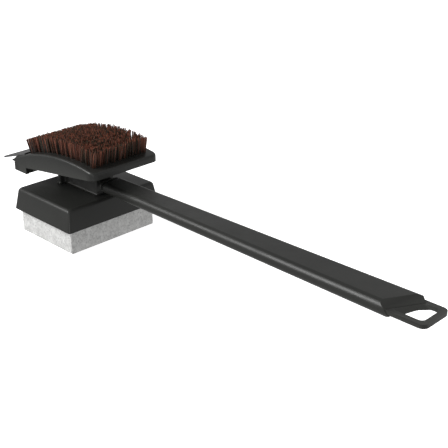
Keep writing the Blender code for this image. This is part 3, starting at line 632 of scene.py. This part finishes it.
def diced_box(low, high, cell):
    """A box whose faces are cut into squares of about the given size."""
    data = box(low, high)
    for axis in range(3):
        count = max(2, round((high[axis] - low[axis]) / cell))
        for step in range(1, count):
            place = Vector((0, 0, 0))
            place[axis] = low[axis] + (high[axis] - low[axis]) * step / count
            normal = Vector((0, 0, 0))
            normal[axis] = 1
            everything = data.verts[:] + data.edges[:] + data.faces[:]
            bmesh.ops.bisect_plane(data, geom=everything, plane_co=place, plane_no=normal)
    return data


def make_stone():
    """The abrasive block, with a worn outline and an uneven, pitted surface."""
    low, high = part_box("stone_block")
    data = diced_box(low, high, STONE_CELL)
    centre = (low + high) / 2
    for vert in data.verts:
        near = [min(vert.co[i] - low[i], high[i] - vert.co[i]) for i in range(3)]
        on_edge = sorted(near)[1] < STONE_WEAR
        chips = max(0.0, noise.noise(vert.co * STONE_CHIP_SCALE))
        rough = STONE_ROUGH[0] + STONE_ROUGH[1] * abs(noise.noise(vert.co * STONE_ROUGH_SCALE))
        worn = STONE_CHIP[0] + STONE_CHIP[1] * chips if on_edge else 0.0
        inward = (rough + worn) * MM
        pull = Vector([inward if distance < STONE_WEAR else 0.0 for distance in near])
        for axis in range(3):
            pull[axis] = math.copysign(pull[axis], centre[axis] - vert.co[axis])
        if vert.co.z < low.z + STONE_FLAT:
            pull.z = min(pull.z, 0.0) + (inward if on_edge else 0.0)
        vert.co += pull
    new_piece("stone", data, "stone", "cleaning_stone", "stone_block")


def neck_outline(grow):
    """The web and its cross wall in plan, moved out by grow."""
    front = NECK_FRONT - grow
    inner = NECK_FRONT + NECK_WALL + grow
    back = NECK_BACK + grow
    wall = NECK_WALL_HALF + grow
    half = NECK_HALF + grow
    corner = NECK_CORNER + grow
    notch = NECK_FLARE + NECK_NOTCH - grow
    return rounded_outline([
        (front, -wall, corner),
        (inner, -wall, corner),
        (inner, -half, notch),
        (back, -half, corner),
        (back, half, corner),
        (inner, half, notch),
        (inner, wall, corner),
        (front, wall, corner),
    ])


def make_neck():
    """The web with its flared foot, the spigot above it and the tang behind it."""
    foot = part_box("neck")[0].z
    rings = []
    for turn in quarter_turn():
        z = foot + NECK_FLARE * (1 - math.cos(turn))
        rings.append(at_height(neck_outline(NECK_FLARE * (1 - math.sin(turn))), z))
    rings.append([(x, y, under_z(x) - GAP) for x, y in neck_outline(0)])
    spigot = slanted_slab(SPIGOT_X, SPIGOT_HALF, lambda x: (under_z(x) - REACH, under_z(x) + SPIGOT_RISE))
    tang = box((TANG_X[0], -TANG_HALF, TANG_Z[0]), (TANG_X[1], TANG_HALF, TANG_Z[1]))
    data = carved(loft(rings), [("UNION", spigot), ("UNION", tang)])
    new_piece("neck_web", data, "tool", "charcoal_plastic", "neck", edge=NECK_EDGE)


def tang_room(start, end):
    """The space that the neck's tang needs, from X = start to X = end."""
    return box((start, -TANG_HALF - GAP, TANG_Z[0] - GAP), (end, TANG_HALF + GAP, TANG_Z[1] + GAP))


def make_collar():
    """The ring between the neck and the handle, with rolled edges."""
    low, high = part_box("neck_collar")
    outline = rounded_rectangle(COLLAR_HALF, HANDLE_HALF_HEIGHT[0] - COLLAR_INSET, COLLAR_CORNER)
    rings = [[(x, y, z + HANDLE_MID_Z) for y, z in outline] for x in (low.x, high.x)]
    data = carved(loft(rings), [("DIFFERENCE", tang_room(low.x - REACH, high.x + REACH))])
    new_piece("collar", data, "tool", "charcoal_plastic", "neck_collar", edge=COLLAR_EDGE)


def handle_ring(x, shrink=0.0):
    """The handle's section at X = x: a flat bar with fully rounded sides."""
    half = (handle_half_width(x) - shrink, handle_half_height(x) - shrink)
    outline = rounded_rectangle(*half, half[1] * HANDLE_ROUND, HANDLE_SIDE_STEPS)
    return [(x, y, HANDLE_MID_Z + z) for y, z in outline]


def slant_frame(x, z):
    """Axes at the slanted end: X square to the wall and out of it, Y along it, Z up."""
    return Matrix.Translation((x, 0, z)) @ Matrix.Rotation(-math.atan(END_SLANT), 4, "Z")


def underside_ramp(x):
    """Heights between which the handle is cut away under its ramp up to the loop."""
    start, end = LOWER_RAMP
    rise = (LOOP_Z[0] - handle_bottom(start)) / (end - start)
    return 0, handle_bottom(start) + rise * (x - start)


def handle_end_cuts():
    """What the hanging end loses: leaning wall, underside, far corner and ramp."""
    lip = slant_frame(END_WALL, RAMP_LIP_Z)
    wall = lip @ Matrix.Rotation(-WALL_LEAN, 4, "Y")
    drop = handle_half_height(RAMP_START) + HANDLE_MID_Z - RAMP_LIP_Z
    run = (END_WALL - RAMP_START) * math.cos(math.atan(END_SLANT))
    ramp = lip @ Matrix.Rotation(math.atan2(drop, run), 4, "Y")
    corner = Matrix.Translation((*FAR_CORNER, 0)) @ Matrix.Rotation(FAR_CORNER_TURN, 4, "Z")
    start, end = LOWER_RAMP
    return [
        box((0, -FAR, -FAR), (FAR, FAR, FAR), wall),
        slanted_slab((start - REACH, end), FAR, underside_ramp),
        box((end - SEAM, -FAR, 0), (end + FAR, FAR, LOOP_Z[0])),
        box((0, -FAR, 0), (FAR, FAR, FAR), corner),
        box((-FAR, -FAR, 0), (FAR, FAR, FAR), ramp),
    ]


def make_handle():
    """The tapering handle, with its ramp, lip and leaning wall at the hanging end."""
    rings = []
    for turn in quarter_turn(HANDLE_NOSE_STEPS):
        inset = HANDLE_NOSE * (1 - math.sin(turn))
        rings.append(handle_ring(HANDLE_START + HANDLE_NOSE * (1 - math.cos(turn)), inset))
    rings.append(handle_ring(HANDLE_END))
    rebate = slanted_slab(
        (COVER_X[0] - GAP, COVER_X[1] + GAP),
        lambda x: handle_half_width(x) - COVER_INSET + GAP,
        lambda x: (handle_bottom(x) - REACH, handle_bottom(x) + COVER_THICK + GAP),
    )
    cuts = [*handle_end_cuts(), rebate, tang_room(HANDLE_START - REACH, TANG_X[1] + GAP)]
    half = LOOP_HALF + SEAM
    root = box((ROOT_START, -half, LOOP_Z[0] - SEAM), (ROOT_START + FAR, half, LOOP_Z[1] + SEAM))
    steps = [("DIFFERENCE", cut) for cut in cuts]
    steps += [("BEVEL", HANDLE_EDGE), ("DIFFERENCE", root)]
    data = carved(loft(rings), steps)
    new_piece("handle", data, "tool", "charcoal_plastic", "handle_body")


def loop_opening(z):
    """Outline of the loop's opening at a height. Its inner end meets the handle's leaning wall at the top."""
    inner = LOOP_HALF - LOOP_BAR
    tip = LOOP_TIP - LOOP_BAR
    near_x, near_radius = OPENING_NEAR
    far_x, far_radius = OPENING_FAR
    low = [(near_x, -inner, near_radius), (far_x, inner, far_radius), OPENING_BEND]
    wall = END_WALL + (RAMP_LIP_Z - LOOP_Z[1]) * math.tan(WALL_LEAN)
    rise = (z - LOOP_Z[0]) / (LOOP_Z[1] - LOOP_Z[0])
    near, far, bend = [(lerp((x, wall + END_SLANT * y), rise), y, radius) for x, y, radius in low]
    ends = [(tip, side, LOOP_INNER_CORNER) for side in (-inner, inner)]
    return rounded_outline([near, *ends, far, bend])


def make_loop():
    """The flat hanging loop and its root under the handle's lip."""
    root = ROOT_START + SEAM
    outer = rounded_outline([
        (root, -LOOP_HALF, LOOP_ROOT_CORNER),
        (LOOP_TIP, -LOOP_HALF, LOOP_CORNER),
        (LOOP_TIP, LOOP_HALF, LOOP_CORNER),
        (root, LOOP_HALF, LOOP_ROOT_CORNER),
    ])
    rings = [at_height(outer, z) for z in LOOP_Z]
    hole = loft([at_height(loop_opening(z), z) for z in (LOOP_Z[0] - GAP, LOOP_Z[1] + GAP)])
    data = carved(loft(rings), [("DIFFERENCE", hole)])
    new_piece("loop", data, "tool", "charcoal_plastic", "hang_loop", edge=LOOP_EDGE)


def deck_edge(inset):
    """The near half of the head's outline in plan, from the back end to the front end, moved in by inset."""
    turns = quarter_turn()
    centres = (HEAD_X[1] - HEAD_BACK_CORNER, HEAD_X[0] + HEAD_FRONT_CORNER)
    radius, middle_y = HEAD_BACK_CORNER - inset, HEAD_BACK_CORNER - HEAD_HALF
    back = [(centres[0] + radius * math.cos(turn), middle_y - radius * math.sin(turn)) for turn in turns]
    side = [(lerp(centres, step / ARCH_STEPS), inset - HEAD_HALF) for step in range(1, ARCH_STEPS)]
    radius, middle_y = HEAD_FRONT_CORNER - inset, HEAD_FRONT_CORNER - HEAD_HALF
    front = [(centres[1] - radius * math.sin(turn), middle_y - radius * math.cos(turn)) for turn in turns]
    return back + side + front


def deck():
    """The head's block: straight sides up to the rim, a rounded rim, and the arched deck."""
    levels = [(0, None), (0, HEAD_RIM)]
    for turn in quarter_turn()[1:]:
        levels.append((HEAD_RIM * (1 - math.cos(turn)), HEAD_RIM * (1 - math.sin(turn))))
    rings = []
    for inset, drop in levels:
        near = [(x, y, SKIRT_BOTTOM if drop is None else arch_z(x) - drop) for x, y in deck_edge(inset)]
        rings.append(near + [(x, -y, z) for x, y, z in reversed(near)])
    data = loft(rings, capped=False)
    verts = list(data.verts)
    count = len(rings[0])
    for start in (0, len(verts) - count):
        for step in range(count // 2 - 1):
            near, far = start + step, start + count - 1 - step
            data.faces.new((verts[near], verts[near + 1], verts[far - 1], verts[far]))
    bmesh.ops.recalc_face_normals(data, faces=data.faces)
    return data


def above_under(rise):
    """Heights from below the head's underside to so far above it."""
    return lambda x: (under_z(x) - REACH, under_z(x) + rise)


def make_head():
    """The arched head: the blade's seat, the lip at its front end, and room below for the base plate."""
    side = HEAD_HALF - LIP_INSET
    inside = HEAD_HALF - HEAD_WALL
    room = (SPIGOT_X[0] - 2 * GAP, SPIGOT_X[1] + 2 * GAP)
    below = slanted_slab(
        (SKIRT_BACK, HEAD_X[1] + REACH), HEAD_HALF + REACH, lambda x: (SKIRT_BOTTOM - REACH, under_z(x))
    )
    blade_room = blade_slab(
        HEAD_X[0] - REACH, BLADE_X[1] + GAP, BLADE_HALF + GAP, BLADE_THICK + 2 * GAP, REACH
    )
    seat_half = BLADE_HALF - SEAT_INSET
    seat = blade_slab(HEAD_X[0] + SEAT_INSET, BLADE_X[1], seat_half, REACH, -BLADE_THICK - GAP)
    lip = box((HEAD_X[0] - LIP_REACH, -side, LIP_Z[0]), (HEAD_X[0] + LIP_ROOT, side, LIP_Z[1]))
    plate_room = slanted_slab(POCKET_X, inside, above_under(BASE_THICK + 2 * GAP))
    spigot_room = slanted_slab(room, SPIGOT_HALF + 2 * GAP, above_under(SPIGOT_RISE + GAP))
    backing_room = box(
        (BACKING_X[0] - GAP, -inside, SKIRT_BOTTOM - REACH),
        (SKIRT_BACK + REACH, inside, BACKING_TOP + GAP),
    )
    steps = [("DIFFERENCE", below), ("DIFFERENCE", blade_room), ("UNION", seat), ("UNION", lip)]
    steps += [("DIFFERENCE", cut) for cut in (plate_room, spigot_room, backing_room)]
    data = carved(deck(), steps)
    new_piece("head", data, "brush_head", "charcoal_plastic", "head_shell", edge=HEAD_EDGE)


def make_blade():
    data = blade_slab(*BLADE_X, BLADE_HALF, BLADE_THICK, 0)
    new_piece("blade", data, "brush_head", "dark_blade", "scraper_blade", edge=BLADE_EDGE)


def row_frame(row):
    """Where a row of tufts leaves the deck, with Z along the bristles."""
    x = lerp(TUFT_X, row / (TUFT_ROWS - 1))
    return Matrix.Translation((x, 0, arch_z(x))) @ Matrix.Rotation(arch_tilt(x), 4, "Y")


def add_strand(data, layers, placing, foot, tip, draw):
    """One tapering, slightly bent strand from foot to tip, in the row's own axes."""
    along_layer, tone_layer = layers
    tone = draw.random()
    lean = Vector((draw.gauss(0, STRAND_BEND), draw.gauss(0, STRAND_BEND), 0)) * MM
    turn = draw.uniform(0, math.pi)
    rings = []
    for step in range(STRAND_STEPS + 1):
        t = step / STRAND_STEPS
        centre = foot.lerp(tip, t) + lean * math.sin(math.pi * t)
        radius = STRAND_RADIUS * (1 - STRAND_TAPER * t)
        ring = []
        for side in range(STRAND_SIDES):
            angle = turn + 2 * math.pi * side / STRAND_SIDES
            offset = Vector((math.cos(angle), math.sin(angle), 0)) * radius
            vert = data.verts.new(placing @ (centre + offset))
            vert[along_layer] = t
            vert[tone_layer] = tone
            ring.append(vert)
        rings.append(ring)
    faces = []
    for low, high in zip(rings, rings[1:]):
        for side in range(STRAND_SIDES):
            after = (side + 1) % STRAND_SIDES
            faces.append(data.faces.new((low[side], low[after], high[after], high[side])))
    faces.append(data.faces.new(rings[-1]))
    faces.append(data.faces.new(list(reversed(rings[0]))))
    return faces


def make_bristle_row(row):
    """A row of tufts, each a bundle of strands that spread a little towards their tips."""
    draw = random.Random(FIRST_SEED + row)
    placing = row_frame(row)
    rise = lerp(TUFT_RISE, row / (TUFT_ROWS - 1))
    data = bmesh.new()
    layers = (data.verts.layers.float.new("along"), data.verts.layers.float.new("tone"))
    for column in range(TUFTS_IN_ROW):
        centre = Vector((0, lerp((-TUFT_Y, TUFT_Y), column / (TUFTS_IN_ROW - 1)), 0))
        for strand in range(STRANDS_IN_TUFT):
            distance = math.sqrt((strand + 0.5) / STRANDS_IN_TUFT)
            angle = strand * GOLDEN_ANGLE + draw.uniform(-STRAND_TURN, STRAND_TURN)
            out = Vector((math.cos(angle), math.sin(angle), 0)) * distance
            foot = centre + out * TUFT_FOOT_RADIUS + Vector((0, 0, -FOOT_DEPTH))
            height = rise + draw.gauss(0, HEIGHT_SPREAD) * MM
            if draw.random() < PROUD_SHARE:
                height += draw.uniform(*PROUD_BY) * MM
            sway = Vector((draw.gauss(0, TIP_SWAY), draw.gauss(0, TIP_SWAY), 0)) * MM
            tip = centre + out * TUFT_SPREAD + sway + Vector((0, 0, height))
            dark = draw.random() < DARK_SHARE
            for face in add_strand(data, layers, placing, foot, tip, draw):
                face.material_index = int(dark)
    number = f"{row + 1:02d}"
    piece = new_piece(f"strands_{number}", data, "brush_head", "bristle", f"bristle_row_{number}")
    piece.data.materials.append(DARK_STRAND)


# ---- camera, floor and light ----


def make_camera():
    """The view from which the object is first shown."""
    away = Vector((
        math.cos(CAMERA_ELEVATION) * math.sin(CAMERA_AZIMUTH),
        -math.cos(CAMERA_ELEVATION) * math.cos(CAMERA_AZIMUTH),
        math.sin(CAMERA_ELEVATION),
    ))
    camera = bpy.data.objects.new("camera", bpy.data.cameras.new("camera"))
    camera.data.lens = CAMERA_LENS
    camera.location = LOOK_AT + away * CAMERA_DISTANCE
    camera.rotation_euler = (math.pi / 2 - CAMERA_ELEVATION, 0, CAMERA_AZIMUTH)
    bpy.context.scene.collection.objects.link(camera)
    bpy.context.scene.camera = camera


def make_floor():
    """A white ground that neither lights the object nor shows in its reflections."""
    data = bmesh.new()
    bmesh.ops.create_grid(data, x_segments=1, y_segments=1, size=FLOOR_HALF)
    floor = linked("floor", data)
    floor.location.z = -FLOOR_DROP
    shader = Shader("floor_look", roughness=0.9)
    colour = shader.ramp(shader.noise(3), [(0.0, 0.93), (1.0, 0.95)])
    floor.data.materials.append(shader.finish(colour))
    shader.surface.inputs["Specular IOR Level"].default_value = 0.0
    shader.surface.inputs["Emission Color"].default_value = (1, 1, 1, 1)
    shader.surface.inputs["Emission Strength"].default_value = FLOOR_GLOW
    floor.visible_diffuse = False
    floor.visible_glossy = False


def add_sun(name, toward, strength, spread):
    """A soft, distant light that shines from the given direction."""
    sun = bpy.data.objects.new(name, bpy.data.lights.new(name, "SUN"))
    sun.data.energy = strength
    sun.data.angle = math.radians(spread)
    sun.rotation_euler = Vector(toward).to_track_quat("Z", "Y").to_euler()
    bpy.context.scene.collection.objects.link(sun)


def make_light():
    """A studio whose brightness leans one way, a soft key light and a low front light."""
    world = bpy.data.worlds.new("studio")
    world.use_nodes = True
    nodes = world.node_tree.nodes
    direction = nodes.new("ShaderNodeTexCoord").outputs["Generated"]
    lean = nodes.new("ShaderNodeVectorMath")
    lean.operation = "DOT_PRODUCT"
    lean.inputs[1].default_value = STUDIO_LEAN
    level = nodes.new("ShaderNodeMath")
    level.inputs[1].default_value = STUDIO_LEVEL
    world.node_tree.links.new(direction, lean.inputs[0])
    world.node_tree.links.new(lean.outputs["Value"], level.inputs[0])
    world.node_tree.links.new(level.outputs["Value"], nodes["Background"].inputs["Strength"])
    nodes["Background"].inputs["Color"].default_value = (1, 1, 1, 1)
    bpy.context.scene.world = world
    add_sun("key", *KEY_SUN)
    add_sun("front", *FRONT_SUN)
    bpy.context.scene.view_settings.view_transform = "Standard"


make_camera()
make_floor()
make_light()
dress_cad_nodes()
make_stone()
make_tray()
make_neck()
make_collar()
make_handle()
make_loop()
make_head()
make_blade()
for row_number in range(TUFT_ROWS):
    make_bristle_row(row_number)
